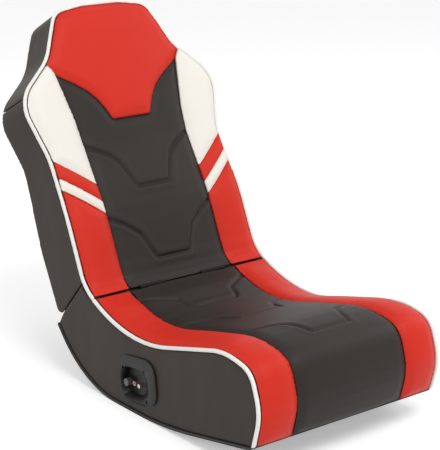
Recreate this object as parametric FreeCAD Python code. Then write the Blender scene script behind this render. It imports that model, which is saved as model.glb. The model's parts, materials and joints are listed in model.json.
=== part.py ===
"""Floor rocking chair for games: a curved seat, a back that folds down onto it, and sound controls.

Lengths are millimetres and angles are degrees. The chair is drawn with the crease between seat and
back near the origin, the sitter facing -Y and +Z up, and is set down on the floor plane at the end.
Side outlines are (y, z, corner radius). On the back, t runs up the backrest and p runs to its rear.
The edge line is the line of the white piping: u runs along it, below zero on the seat and above zero
on the back, and h stands out of it towards the sitter. Left and right are the sitter's own.
"""
import FreeCAD, Part
import math
import os

Vector = FreeCAD.Vector
X_AXIS = Vector(1, 0, 0)

# Widths, measured from the middle plane
seat_half_width = 215.0
piping_diameter = 7.0
piping_proud = 2.5
cover_thickness = 5.0
seam_half_width = 130.0
seam_gap = 0.4
fit_gap = 0.3

# Edge line of the seat, from the front foot over the nose to the crease
front_foot = (-489.0, -141.0, 8.0)
nose_front = (-508.5, -69.0, 99.0)
nose_top = (-482.5, 2.5, 44.0)
thigh_rise = (-408.5, 17.0, 160.0)
seat_dip = (-122.5, -59.0, 330.0)
crease_corner = (29.5, 13.5, 92.0)

# Rocker underside, from the rear foot to the front foot
rocker_depth = 190.0
rear_foot = (128.0, -88.0)
rocker_rear_y = 35.0
rocker_rear_radius = 250.0
rocker_front_y = -230.0
rocker_front_radius = 900.0
rocker_board = 5.0
rocker_proud = 2.0

# Slanting split between the seat and the back on the chair's side
split_top = (36.0, 22.0)
split_low = (109.0, -58.0)
split_gap = 1.2
split_cover = 3.0

# Backrest: lean from upright, and its side outline as (t, p, radius)
back_lean = 27.3
lumbar_front = (162.0, 12.0, 398.0)
shoulder_front = (300.0, 24.7, 401.0)
head_front = (610.0, 12.3, 0.0)
head_rear = (596.0, 110.0, 30.0)
back_rear = (112.0, 144.3, 300.0)
back_heel_radius = 15.0
rear_cover = 4.0

# Backrest seen from the front: half width with the piping, t and corner radius, going up
seat_edge = seat_half_width + piping_proud
back_outline = [
    (seat_edge, -120.0, 0.0), (seat_edge - 1.5, 165.0, 200.0), (seat_edge - 7.1, 289.0, 158.0),
    (seat_edge + 24.7, 409.6, 72.0), (seat_edge - 6.8, 441.6, 68.0), (seat_edge - 59.7, 488.3, 105.0),
    (seat_edge - 105.3, 584.1, 41.0), (seat_edge - 171.4, 594.6, 95.0)]
shoulder_seam = 417.0

# Crown of the padding over the edge line: at its outer edge, on the bolster, at the seam, in the middle
edge_crown = 4.5
bolster_crown = 14.0
seam_crown = 10.5
middle_crown = 17.0
dip_extra = 6.0
crease_share = 0.2
crease_ramp = 50.0
nose_share = 0.62
bolster_reach = 236.0
head_edge_crown = 6.0
head_reach = 168.0
head_crown = 20.0
top_share = 0.3
top_ramp = 48.0
loft_step = 40.0
loft_turn = 12.0

# Sewn channels of the middle panels: half widths, and t up the back or distance ahead of the crease
channel_width = 5.0
channel_depth = 2.5
back_channels = [
    [(130.0, 301.0), (104.0, 287.0), (80.0, 273.0), (63.0, 256.0), (48.0, 222.0), (40.0, 200.0)],
    [(130.0, 149.0), (97.0, 130.0), (65.0, 104.0), (50.0, 71.0), (41.0, 51.0)]]
seat_channels = [
    [(130.0, 30.0), (66.0, 73.0), (58.0, 103.0), (46.0, 117.0)],
    [(130.0, 170.0), (78.0, 198.0), (65.0, 214.0), (50.0, 262.0)],
    [(124.0, 366.0), (68.0, 398.0), (57.0, 415.0), (44.0, 453.0)]]

# Colour fields of the back: half widths and t values
panel_edge = [(127.0, -120.0), (127.0, 300.0), (131.0, 353.0), (143.0, 419.0), (150.0, 456.0), (170.0, 500.0)]
head_edge = [(45.0, 346.0), (58.0, 374.0), (70.0, 393.0), (84.0, 409.0), (108.0, 428.0), (138.0, 447.0),
             (150.0, 456.0), (163.0, 476.0), (260.0, 510.0)]
stripe_inner_half = 130.0
stripe_slope = 0.8
red_stripe_top = 222.0
red_stripe_width = 35.0
white_stripe_width = 26.0

# Wooden frame and foam inside
seat_board = 15.0
back_board_side = 12.0
back_board_depth = 45.0
back_side_padding = 2.9
hardboard = 3.0
baffle = 9.0
rail = 15.0
foam_start = 2.8
seat_foam = 30.0
back_foam = 12.0
deck = 9.0
front_rail = 22.0
front_rail_height = 90.0
middle_rail_front_y = -330.0
middle_rail_length = 90.0
hinge_rail_height = 48.0
back_low_rail_t = (52.0, 104.0)
back_middle_rail_t = (225.0, 275.0)
back_shelf_t = 415.0
head_foam = 16.0

# Fold hinges between seat and back
hinge_lift = 3.0
hinge_half_spacing = 75.0
hinge_length = 60.0
hinge_middle = 28.0
knuckle_radius = 4.0
hinge_pin_radius = 2.0
pin_running = 0.05
leaf = 2.0
seat_leaf_length = 44.0
back_leaf_end_t = 98.0
crease_clearance = 5.5
piping_clearance = 1.5
screw_radius = 2.0
screw_head_radius = 3.6
screw_head = 1.2
screw_sides = 8
screw_length = 13.0

# Control panel, low on the right side; its along axis runs to the rear
panel_y = -151.0
panel_height = 71.0
panel_tilt = 8.0
panel_size = (118.0, 90.0)
panel_corner = 28.0
panel_proud = 3.5
cup_place = (10.0, -10.0)
cup_size = (90.0, 66.0)
cup_corner = 26.0
cup_floor_shift = 13.0
cup_floor_size = (58.0, 50.0)
cup_floor_corner = 20.0
cup_depth = 16.0
cup_wall = 2.5
bezel_chamfer = 1.4
corner_runs = 4
panel_screw_reach = (34.0, 28.0)
panel_screw_recess = 2.0
knob_place = (44.0, -12.0)
knob_radius = 7.5
knob_height = 12.0
knob_lift = 0.6
knob_flutes = 12
knob_flute_depth = 0.8
jack_places = [(23.0, -12.0), (8.5, -15.0)]
jack_radius = 4.15
jack_wall = 0.75
jack_height = 8.0
jack_bore = 1.6
pot_radius = 8.5
pot_depth = 9.0
shaft_radius = 3.0
shaft_in_knob = 8.0
circuit_size = (60.0, 50.0)
circuit_board = 1.6
capacitor_radius = 5.0
capacitor_height = 14.0
capacitor_step = 13.0
sink_size = (34.0, 16.0)
sink_height = 12.0
sink_base = 3.0
sink_gaps = 4

# Loudspeakers behind the head panel
speaker_half_spacing = 62.0
speaker_t = 515.0
speaker_radius = 38.0
speaker_sides = 16
speaker_rim = 3.0
speaker_depth = 32.0
magnet_radius = 18.0
magnet_depth = 10.0
basket_wall = 2.0
cone_wall = 1.2
cone_room = 2.5
cone_depth = 14.0
dust_cap_radius = 11.0

LEAN = math.radians(back_lean)
REAR = Vector(0, math.cos(LEAN), -math.sin(LEAN))
FAR = 900.0


# Flat geometry

def to_side(t, p):
    """A place on the backrest as a (y, z) pair of the side view."""
    return (t * math.sin(LEAN) + p * math.cos(LEAN), t * math.cos(LEAN) - p * math.sin(LEAN))


def side_corner(corner):
    """A backrest corner (t, p, radius) as a (y, z, radius) corner of the side view."""
    return to_side(corner[0], corner[1]) + (corner[2],)


def on_side(x):
    """A function that puts a (y, z) pair at x."""
    return lambda a, b: Vector(x, a, b)


def on_back(p):
    """A function that puts an (x, t) pair at depth p of the backrest."""
    def place(a, b):
        y, z = to_side(b, p)
        return Vector(a, y, z)
    return place


def unit(a, b):
    """Unit vector from a to b, in the flat."""
    length = math.hypot(b[0] - a[0], b[1] - a[1])
    return ((b[0] - a[0]) / length, (b[1] - a[1]) / length)


def sharp(points):
    """Corners with no radius."""
    return [tuple(point[:2]) + (0.0,) for point in points]


def meeting(first, first_ahead, second, second_ahead):
    """Where two lines cross."""
    turn = first_ahead[0] * second_ahead[1] - first_ahead[1] * second_ahead[0]
    gap = (second[0] - first[0], second[1] - first[1])
    reach = (gap[0] * second_ahead[1] - gap[1] * second_ahead[0]) / turn
    return (first[0] + first_ahead[0] * reach, first[1] + first_ahead[1] * reach)


def drawn_in(points, amounts):
    """Move each side of a closed clockwise outline inwards by its own amount; corners stay concentric."""
    count = len(points)
    sides = [unit(points[i], points[(i + 1) % count]) for i in range(count)]
    result = []
    for i, (a, b, radius) in enumerate(points):
        before, after = sides[i - 1], sides[i]
        start = (a + before[1] * amounts[i - 1], b - before[0] * amounts[i - 1])
        other = (a + after[1] * amounts[i], b - after[0] * amounts[i])
        turn = before[0] * after[1] - before[1] * after[0]
        corner = meeting(start, before, other, after) if abs(turn) > 1e-6 else other
        grow = math.copysign(0.5 * (amounts[i - 1] + amounts[i]), turn) * (1 if amounts[i] >= 0 else -1)
        result.append(corner + (max(radius + grow, 0.0) if radius else 0.0,))
    return result


def pieces_of(points, closed=False):
    """The lines and tangent arcs of an outline: ("line", p, q) and ("arc", p, q, centre, radius, turn)."""
    count = len(points)
    turns = [0.0] * count
    for i in range(0 if closed else 1, count if closed else count - 1):
        before, after = unit(points[i - 1], points[i]), unit(points[i], points[(i + 1) % count])
        sideways = before[0] * after[1] - before[1] * after[0]
        turns[i] = math.atan2(sideways, before[0] * after[0] + before[1] * after[1])
    reaches = [points[i][2] * math.tan(abs(turns[i]) / 2) for i in range(count)]
    share = [1.0] * count
    for i in range(count if closed else count - 1):
        following = (i + 1) % count
        length = math.hypot(points[following][0] - points[i][0], points[following][1] - points[i][1])
        if reaches[i] + reaches[following] > 0.995 * length:
            limit = 0.995 * length / (reaches[i] + reaches[following])
            share[i] = min(share[i], limit)
            share[following] = min(share[following], limit)
    corners = []
    for i, (a, b, radius) in enumerate(points):
        radius, reach = radius * share[i], reaches[i] * share[i]
        if reach < 1e-3:
            corners.append(((a, b), (a, b), None))
            continue
        before, after = unit(points[i - 1], points[i]), unit(points[i], points[(i + 1) % count])
        start = (a - before[0] * reach, b - before[1] * reach)
        end = (a + after[0] * reach, b + after[1] * reach)
        left = math.copysign(radius, turns[i])
        centre = (start[0] - before[1] * left, start[1] + before[0] * left)
        corners.append((start, end, (centre, radius, turns[i])))
    pieces = []
    for i, (start, end, arc) in enumerate(corners):
        if arc:
            pieces.append(("arc", start, end) + arc)
        if closed or i < count - 1:
            following = corners[(i + 1) % count][0]
            pieces.append(("line", end, following))
    return pieces


def piece_length(piece):
    """Length of one line or arc."""
    if piece[0] == "line":
        return math.hypot(piece[2][0] - piece[1][0], piece[2][1] - piece[1][1])
    return piece[4] * abs(piece[5])


def along(pieces, distance):
    """Place and direction at a distance along the pieces."""
    for piece in pieces[:-1]:
        if distance <= piece_length(piece):
            break
        distance -= piece_length(piece)
    else:
        piece = pieces[-1]
    if piece[0] == "line":
        ahead = unit(piece[1], piece[2])
        return (piece[1][0] + ahead[0] * distance, piece[1][1] + ahead[1] * distance), ahead
    centre, radius, turn = piece[3:]
    side = math.copysign(1.0, turn)
    angle = math.atan2(piece[1][1] - centre[1], piece[1][0] - centre[0]) + side * distance / radius
    place = (centre[0] + radius * math.cos(angle), centre[1] + radius * math.sin(angle))
    return place, (-side * math.sin(angle), side * math.cos(angle))


# Solids from flat outlines

def edges_of(pieces, place):
    """Edges for the pieces, put in space by a placing function."""
    edges = []
    for piece in pieces:
        if piece[0] == "line":
            edges.append(Part.LineSegment(place(*piece[1]), place(*piece[2])).toShape())
            continue
        middle, _ = along([piece], piece_length(piece) / 2)
        edges.append(Part.Arc(place(*piece[1]), place(*middle), place(*piece[2])).toShape())
    return edges


def face_of(points, place):
    """A face from a closed outline."""
    return Part.Face(Part.Wire(edges_of(pieces_of(points, closed=True), place)))


def side_prism(points, low_x, high_x):
    """A closed (y, z) outline from one x to another."""
    return face_of(points, on_side(low_x)).extrude(Vector(high_x - low_x, 0, 0))


def back_prism(points, low_p=-120.0, high_p=260.0):
    """A closed (x, t) outline through the backrest, from depth to depth."""
    return face_of(points, on_back(low_p)).extrude(REAR * (high_p - low_p))


def flat_sided(first, second):
    """A solid with flat sides between two like outlines of points."""
    rings = [points + points[:1] for points in (first, second)]
    faces = [Part.Face(Part.makePolygon(ring)) for ring in rings]
    for i in range(len(first)):
        corners = [rings[0][i], rings[0][i + 1], rings[1][i + 1], rings[1][i]]
        faces.append(Part.Face(Part.makePolygon(corners + corners[:1])))
    shell = Part.makeShell(faces)
    shell.sewShape()
    solid = Part.makeSolid(shell)
    if solid.Volume < 0:
        solid.reverse()
    return solid


def mirrored(shape):
    """The same shape on the sitter's other side."""
    return shape.mirror(Vector(0, 0, 0), X_AXIS)


def beyond(first, second, depth):
    """A prism of all that lies right of the line from first to second, from depth on."""
    ahead = unit(first, second)
    right = (ahead[1], -ahead[0])
    near = (first[0] + right[0] * depth, first[1] + right[1] * depth)
    low = (near[0] - ahead[0] * FAR, near[1] - ahead[1] * FAR)
    high = (near[0] + ahead[0] * FAR, near[1] + ahead[1] * FAR)
    far_side = [(point[0] + right[0] * FAR, point[1] + right[1] * FAR) for point in (high, low)]
    return side_prism(sharp([low, high] + far_side), -FAR, FAR)


def between_t(low, high):
    """All of the backrest between two heights."""
    return back_prism(sharp([(-FAR, low), (-FAR, high), (FAR, high), (FAR, low)]), -FAR, FAR)


def between_x(low, high):
    """All between two places across the chair."""
    return side_prism(sharp([(-FAR, -FAR), (-FAR, FAR), (FAR, FAR), (FAR, -FAR)]), low, high)


# The outlines that everything follows

rocker_points = [
    rear_foot + (0.0,), (rocker_rear_y, -rocker_depth, rocker_rear_radius),
    (rocker_front_y, -rocker_depth, rocker_front_radius), front_foot]
seat_edge_points = [nose_front, nose_top, thigh_rise, seat_dip, crease_corner]
back_edge_points = [side_corner(corner) for corner in (lumbar_front, shoulder_front, head_front)]
edge_line = pieces_of([front_foot] + seat_edge_points + back_edge_points)
crease_number = [piece[2] for piece in edge_line].index(
    [piece[1] for piece in edge_line if piece[0] == "arc"][len(seat_edge_points) - 1])
crease_at = sum(piece_length(piece) for piece in edge_line[:crease_number + 1])
line_start = -crease_at
line_end = sum(piece_length(piece) for piece in edge_line) - crease_at


def edge_frame(u):
    """Place, direction and outward normal on the edge line."""
    place, ahead = along(edge_line, u + crease_at)
    return place, ahead, (-ahead[1], ahead[0])


def off_edge(u, h):
    """A (y, z) place at u along the edge line and h out of it."""
    place, _, out = edge_frame(u)
    return (place[0] + out[0] * h, place[1] + out[1] * h)


def u_at_t(t):
    """Distance along the edge line at which the backrest reaches t."""
    low, high = 0.0, line_end
    for _ in range(40):
        middle = 0.5 * (low + high)
        place = edge_frame(middle)[0]
        if place[0] * math.sin(LEAN) + place[1] * math.cos(LEAN) < t:
            low = middle
        else:
            high = middle
    return low


crease, crease_ahead, crease_out = edge_frame(0.0)
hinge_axis = off_edge(0.0, hinge_lift)


def crease_place(s, h):
    """A (y, z) place from the crease: s to the rear and h out, on its own straight axes."""
    return (crease[0] + crease_ahead[0] * s + crease_out[0] * h,
            crease[1] + crease_ahead[1] * s + crease_out[1] * h)


def ahead_of_crease(gap):
    """Everything from the crease forward, and gap to its rear."""
    return beyond(crease_place(0, 1), crease, -gap)


def behind_crease(gap):
    """Everything from the crease to the rear, and gap ahead of it."""
    return beyond(crease, crease_place(0, 1), -gap)


def seat_region(top, bottom, rear, low_x, high_x):
    """The seat's side outline, drawn in from the top, the rocker and the rear, between two x."""
    outline = rocker_points + seat_edge_points + [back_edge_points[0], split_low + (0.0,)]
    amounts = [bottom] * 3 + [top] * 6 + [0.0, rear]
    body = side_prism(drawn_in(outline, amounts), low_x, high_x)
    return body.cut(beyond(split_low, split_top, -rear))


def back_region(front, rear, top, low, low_x=-FAR, high_x=FAR):
    """The back's side outline, drawn in from the front, the rear, the top and the split, between two x."""
    line = [seat_dip[:2] + (0.0,), crease_corner] + back_edge_points
    line += sharp([to_side(head_front[0], FAR), (FAR, -FAR)])
    ahead_part = side_prism(drawn_in(line, [front] * 4 + [0.0] * 3), low_x, high_x)
    slope = unit(split_low, split_top)
    heel = meeting(split_low, slope, to_side(*back_rear[:2]), unit(to_side(1, 0), (0, 0)))
    outside = (split_top[0] + slope[0] * 150, split_top[1] + slope[1] * 150)
    line = [outside + (0.0,), to_side(head_rear[0], -200) + (0.0,), side_corner(head_rear), side_corner(back_rear),
            heel + (back_heel_radius,)]
    rear_part = side_prism(drawn_in(line, [0.0, top, rear, rear, low]), low_x, high_x)
    return ahead_part.common(rear_part)


def outline_points(inset):
    """The back's front outline, drawn in, as clockwise (x, t, radius) points."""
    left = [(-half, t, radius) for half, t, radius in back_outline]
    right = [(half, t, radius) for half, t, radius in reversed(back_outline)]
    return drawn_in(left + right, [inset] * (2 * len(back_outline) - 1) + [0.0])


cover_outer = piping_proud
cover_inner = piping_proud + cover_thickness
piping_radius = piping_diameter / 2
pad_half = seat_half_width - cover_thickness - fit_gap
cover_top = piping_radius + fit_gap


# Padding

def crown_share(u):
    """How much of the full crown stands at u: less at the crease, the front foot and the head's top."""
    share = 1.0
    if abs(u) < crease_ramp:
        share = crease_share + (1 - crease_share) * abs(u) / crease_ramp
    top = u_at_t(back_outline[-1][1]) - top_ramp
    if u > top:
        share = top_share + (1 - top_share) * math.cos(math.pi / 2 * min((u - top) / top_ramp, 1.0))
    nose = edge_line[0][1]
    place = edge_frame(u)[0]
    if u < 0 and place[1] < nose_top[1]:
        fall = min((nose_top[1] - place[1]) / (nose_top[1] - nose[1]), 1.0)
        if place[0] < thigh_rise[0]:
            share = 1 - (1 - nose_share) * fall
    return share


def dip_rise(u):
    """Extra padding in the dip of the seat."""
    length = -line_start
    reach = (-u / length - 0.1) / 0.6
    return dip_extra * math.sin(math.pi * reach) ** 2 if 0 < reach < 1 else 0.0


def loft_places(low, high):
    """Places along the edge line from low to high, closer together where it turns or the crown dies down."""
    places = [low]
    start = line_start
    for piece in edge_line:
        length = piece_length(piece)
        turn = math.degrees(abs(piece[5])) if piece[0] == "arc" else 0.0
        steps = max(1, math.ceil(max(length / loft_step, turn / loft_turn)))
        places += [start + length * (i + 1) / steps for i in range(steps)]
        start += length
    places += [side * crease_ramp * share for side in (-1, 1) for share in (0.45, 1.0)]
    top = u_at_t(back_outline[-1][1])
    places += [top - top_ramp * share for share in (1.0, 0.5, 0.2)]
    kept = [low]
    for place in sorted(places):
        if place - kept[-1] > 9.0 and high - place > 9.0:
            kept.append(place)
    return kept + [high]


def pad(low, high, section):
    """A padded solid on the edge line; section gives the three top points (x, h) at u, from +X to -X."""
    wires = []
    for u in loft_places(low, high):
        place, _, out = edge_frame(u)
        def at(x, h):
            return Vector(x, place[0] + out[0] * h, place[1] + out[1] * h)
        (x_high, h_high), (x_middle, h_middle), (x_low, h_low) = section(u)
        corners = [at(x_low, 0), at(x_high, 0), at(x_high, h_high), at(x_low, h_low)]
        wires.append(Part.Wire([
            Part.LineSegment(corners[0], corners[1]).toShape(),
            Part.LineSegment(corners[1], corners[2]).toShape(),
            Part.Arc(corners[2], at(x_middle, h_middle), corners[3]).toShape(),
            Part.LineSegment(corners[3], corners[0]).toShape()]))
    return Part.makeLoft(wires, True, True)


def middle_section(half, drop=0.0):
    """Section of a middle panel; drop lowers its top."""
    def section(u):
        share, rise = crown_share(u), dip_rise(u)
        middle = middle_crown * share + rise - drop
        side = middle - (middle_crown - seam_crown) * share * (half / seam_half_width) ** 2
        return (half, side), (0.0, middle), (-half, side)
    return section


def bolster_section(inner, outer):
    """Section of the left bolster from inner to outer."""
    def section(u):
        share, rise = crown_share(u), dip_rise(u)
        return ((outer, edge_crown * min(share + 0.4, 1.0)),
                (0.5 * (inner + outer), bolster_crown * share + 0.6 * rise), (inner, seam_crown * share + rise))
    return section


def head_section(u):
    """Section of the head panel."""
    share = crown_share(u)
    side = head_edge_crown * share
    return (head_reach, side), (0.0, head_crown * share), (-head_reach, side)


def band(points, width):
    """A closed clockwise outline of a ribbon along the points, with round bends."""
    left, right = [], []
    for i, point in enumerate(points):
        before = unit(points[max(i - 1, 0)], points[max(i, 1)])
        after = unit(points[min(i, len(points) - 2)], points[min(i + 1, len(points) - 1)])
        bisector = (before[0] + after[0], before[1] + after[1])
        size = math.hypot(*bisector)
        reach = width / 2 / (size / 2)
        side = (-bisector[1] / size * reach, bisector[0] / size * reach)
        left.append((point[0] + side[0], point[1] + side[1], 0.0))
        right.append((point[0] - side[0], point[1] - side[1], 0.0))
    return left + list(reversed(right))


def chevron(points):
    """A channel's points on both sides of the middle."""
    return points + [(-half, t) for half, t in reversed(points)]


def channelled(panel, lowered, grooves):
    """A panel with sewn channels pressed into it."""
    for groove in grooves:
        panel = panel.cut(groove.cut(lowered))
    return panel


def build_seat_pads(nodes):
    """Middle panel with its sewn channels, and the two bolsters."""
    start, end = line_start + 2.0, -crease_clearance * 0.6
    half = seam_half_width - seam_gap / 2
    panel = pad(start, end, middle_section(half))
    lowered = pad(start - 5.0, end + 5.0, middle_section(half + 5.0, channel_depth))
    grooves = []
    for channel in seat_channels:
        points = [(half_x, off_edge(-distance, middle_crown)[0]) for half_x, distance in channel]
        outline = band(chevron(points), channel_width)
        place = lambda a, b: Vector(a, b, -rocker_depth)
        grooves.append(face_of(outline, place).extrude(Vector(0, 0, 2 * rocker_depth)))
    barrel = crease_barrel(crease_clearance)
    foot = seat_region(-60.0, rocker_board + fit_gap, 0.0, -FAR, FAR)
    panel = panel.common(foot)
    nodes["seat_center_panel"] = channelled(panel, lowered, grooves).cut(barrel)
    left = pad(start, end, bolster_section(seam_half_width + seam_gap / 2, pad_half))
    left = left.common(foot).cut(barrel)
    nodes["seat_bolster_left"] = left
    nodes["seat_bolster_right"] = mirrored(left)


def crease_barrel(radius, half_length=seat_half_width + 20.0):
    """A cylinder round the fold axis."""
    return Part.makeCylinder(radius, 2 * half_length, Vector(-half_length, *hinge_axis), X_AXIS)


def stripe_line(inner_t, half):
    """Height of a slanting stripe edge at a half width."""
    return inner_t + (half - stripe_inner_half) * stripe_slope


def build_back_pads(nodes):
    """Head panel, middle panel, white wings, stripes and bolsters of the back."""
    start = crease_clearance * 0.6
    trim = back_prism(outline_points(cover_inner + fit_gap)).cut(seat_region(0.0, 0.0, -split_gap, -FAR, FAR))
    trim = trim.cut(crease_barrel(crease_clearance))
    head_points = [(-half, t) for half, t in reversed(head_edge)] + head_edge
    head_points = [(-260.0, 700.0), (260.0, 700.0)] + list(reversed(head_points))
    head_field = back_prism(drawn_in(sharp(head_points), [seam_gap / 2] * len(head_points)))
    head_hole = back_prism(drawn_in(sharp(head_points), [-seam_gap / 2] * len(head_points)))
    edge = [(-half, t) for half, t in panel_edge] + [(half, t) for half, t in reversed(panel_edge)]
    panel_field = back_prism(drawn_in(sharp(edge), [seam_gap / 2] * len(edge)))
    panel_hole = back_prism(drawn_in(sharp(edge), [-seam_gap / 2] * len(edge)))

    head = pad(u_at_t(head_edge[0][1] - 12), line_end - 6.0, head_section)
    nodes["headrest_panel"] = head.common(trim).common(head_field)

    high = u_at_t(panel_edge[-2][1] + 10)
    panel = pad(start, high, middle_section(165.0)).common(trim).common(panel_field).cut(head_hole)
    lowered = pad(start - 2.0, high + 5.0, middle_section(170.0, channel_depth))
    grooves = [back_prism(band(chevron(channel), channel_width)) for channel in back_channels]
    nodes["back_center_panel"] = channelled(panel, lowered, grooves)

    blank = pad(start, u_at_t(head_edge[-2][1] + 10), bolster_section(seam_half_width - 15.0, bolster_reach))
    blank = blank.common(trim).cut(panel_hole).cut(head_hole)
    fields = [("wing", red_stripe_top, 700.0), ("red_stripe", red_stripe_top - red_stripe_width, red_stripe_top)]
    white_top = red_stripe_top - red_stripe_width
    fields += [("white_stripe", white_top - white_stripe_width, white_top),
               ("back_bolster", -300.0, white_top - white_stripe_width)]
    for name, low, top in fields:
        low_gap, top_gap = low + seam_gap / 2, top - seam_gap / 2
        corners = [(100.0, stripe_line(low_gap, 100.0)), (100.0, stripe_line(top_gap, 100.0)),
                   (260.0, stripe_line(top_gap, 260.0)), (260.0, stripe_line(low_gap, 260.0))]
        field = blank.common(back_prism(sharp(corners)))
        nodes[name + "_left"] = field
        nodes[name + "_right"] = mirrored(field)


# Covers and piping

def build_seat_covers(nodes, hole):
    """Side covers, the cover of the split, the rocker board and the piping of the seat."""
    inner, outer = seat_half_width - cover_thickness, seat_half_width
    cover = seat_region(cover_top, rocker_board + fit_gap, 0.0, inner, outer)
    nodes["seat_side_cover_left"] = cover
    nodes["seat_side_cover_right"] = mirrored(cover).cut(hole)
    whole = seat_region(cover_top, rocker_board + fit_gap, 0.0, -pad_half, pad_half)
    strip = whole.cut(seat_region(-60.0, -60.0, split_cover, -FAR, FAR))
    nodes["seat_rear_cover"] = strip
    half = seat_half_width + rocker_proud
    slab = seat_region(cover_top, 0.0, 0.0, -half, half)
    nodes["rocker_board"] = slab.cut(seat_region(-60.0, rocker_board, -60.0, -FAR, FAR))
    low, high = seat_edge - piping_diameter, seat_edge
    welt = seat_region(-piping_radius, rocker_board + fit_gap, 0.0, low, high)
    welt = welt.cut(seat_region(piping_radius, -60.0, -60.0, -FAR, FAR))
    welt = welt.cut(crease_barrel(piping_clearance)).cut(behind_crease(-fit_gap))
    nodes["seat_piping_left"] = welt
    nodes["seat_piping_right"] = mirrored(welt)


def build_back_covers(nodes):
    """Side covers, head cover, rear cover, split cover and piping of the back."""
    ring = back_prism(outline_points(cover_outer)).cut(back_prism(outline_points(cover_inner)))
    ring = ring.common(back_region(cover_top, 0.0, 0.0, split_gap))
    lower = ring.common(between_t(-FAR, shoulder_seam - seam_gap / 2))
    left = lower.common(between_x(0.0, FAR))
    nodes["back_side_cover_left"] = left
    nodes["back_side_cover_right"] = mirrored(left)
    nodes["head_side_cover"] = ring.common(between_t(shoulder_seam + seam_gap / 2, FAR))
    inside = back_prism(outline_points(cover_inner + fit_gap))
    whole = back_region(cover_top, 0.0, 0.0, split_gap).common(inside)
    plate = whole.cut(back_region(-60.0, rear_cover, 0.0, -60.0))
    nodes["back_rear_cover"] = plate
    foot = whole.cut(back_region(-60.0, -60.0, -60.0, split_gap + split_cover))
    nodes["back_split_cover"] = foot.cut(back_region(-60.0, 0.0, 0.0, -60.0).cut(
        back_region(-61.0, rear_cover + fit_gap, 0.0, -61.0)))
    ring = back_prism(outline_points(0.0)).cut(back_prism(outline_points(piping_diameter)))
    strip = back_region(-piping_radius, -60.0, -60.0, -FAR / 2)
    strip = strip.cut(back_region(piping_radius, -61.0, -61.0, -FAR / 2))
    piping = ring.common(strip).cut(ahead_of_crease(fit_gap)).cut(crease_barrel(piping_clearance))
    nodes["back_piping"] = piping


# Wooden frame and foam

back_half = min(corner[0] for corner in back_outline[:3]) - cover_inner - back_side_padding
seat_inner = pad_half - seat_board - fit_gap
back_inner = back_half - back_board_side - fit_gap
under_foam = foam_start + seat_foam + fit_gap
under_deck = under_foam + deck + fit_gap
inside_rocker = rocker_board + fit_gap
inside_split = split_cover + fit_gap
inside_rear = rear_cover + fit_gap
behind_board = inside_rear + hardboard + fit_gap
inside_outline = cover_inner + 2 * fit_gap


def seat_strip(first, second):
    """A strip of the seat between two depths under the edge line, stopping at the hinges."""
    outer = seat_region(first, inside_rocker, inside_split, -seat_inner, seat_inner)
    return outer.cut(seat_region(second, -60.0, -60.0, -FAR, FAR)).cut(behind_crease(leaf + fit_gap))


def back_strip(first, second):
    """A strip of the back between two depths under the edge line."""
    outer = back_region(first, inside_rear, 0.0, split_gap + inside_split)
    return outer.cut(back_region(second, -60.0, -61.0, -62.0))


def rear_strip(first, second):
    """A strip of the back between two depths inside its rear face."""
    outer = back_region(foam_start + back_foam + fit_gap, first, 0.0, split_gap + inside_split)
    return outer.cut(back_region(-60.0, second, -61.0, -62.0))


def build_seat_frame(nodes, hole):
    """Side boards, cross rails, deck and foam of the seat."""
    side = seat_region(foam_start, inside_rocker, inside_split, pad_half - seat_board, pad_half)
    nodes["seat_side_board_left"] = side
    nodes["seat_side_board_right"] = mirrored(side).cut(hole)
    nodes["seat_foam"] = seat_strip(foam_start, foam_start + seat_foam)
    nodes["seat_deck"] = seat_strip(under_foam, under_foam + deck)
    core = seat_region(under_deck, inside_rocker, inside_split, -seat_inner, seat_inner)
    corner = Vector(-seat_inner, core.BoundBox.YMin + 2.0, front_foot[1] + inside_rocker)
    rail_block = Part.makeBox(2 * seat_inner, front_rail, front_rail_height, corner)
    nodes["seat_front_rail"] = core.common(rail_block)
    floor_strip = core.cut(seat_region(-60.0, inside_rocker + rail, -60.0, -FAR, FAR))
    corner = Vector(-seat_inner, middle_rail_front_y, -rocker_depth - 1)
    middle = Part.makeBox(2 * seat_inner, middle_rail_length, rocker_depth, corner)
    nodes["seat_middle_rail"] = floor_strip.common(middle)
    face, top = leaf / 2 + fit_gap, -2 * foam_start
    corners = [crease_place(face, top - hinge_rail_height), crease_place(face, top),
               crease_place(face + rail, top), crease_place(face + rail, top - hinge_rail_height)]
    nodes["seat_hinge_rail"] = side_prism(sharp(corners), -seat_inner, seat_inner)
    rear = seat_region(3 * foam_start, inside_rocker, inside_split, -seat_inner, seat_inner)
    nodes["seat_rear_board"] = rear.common(beyond(split_low, split_top, -inside_split - seat_board))


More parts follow.
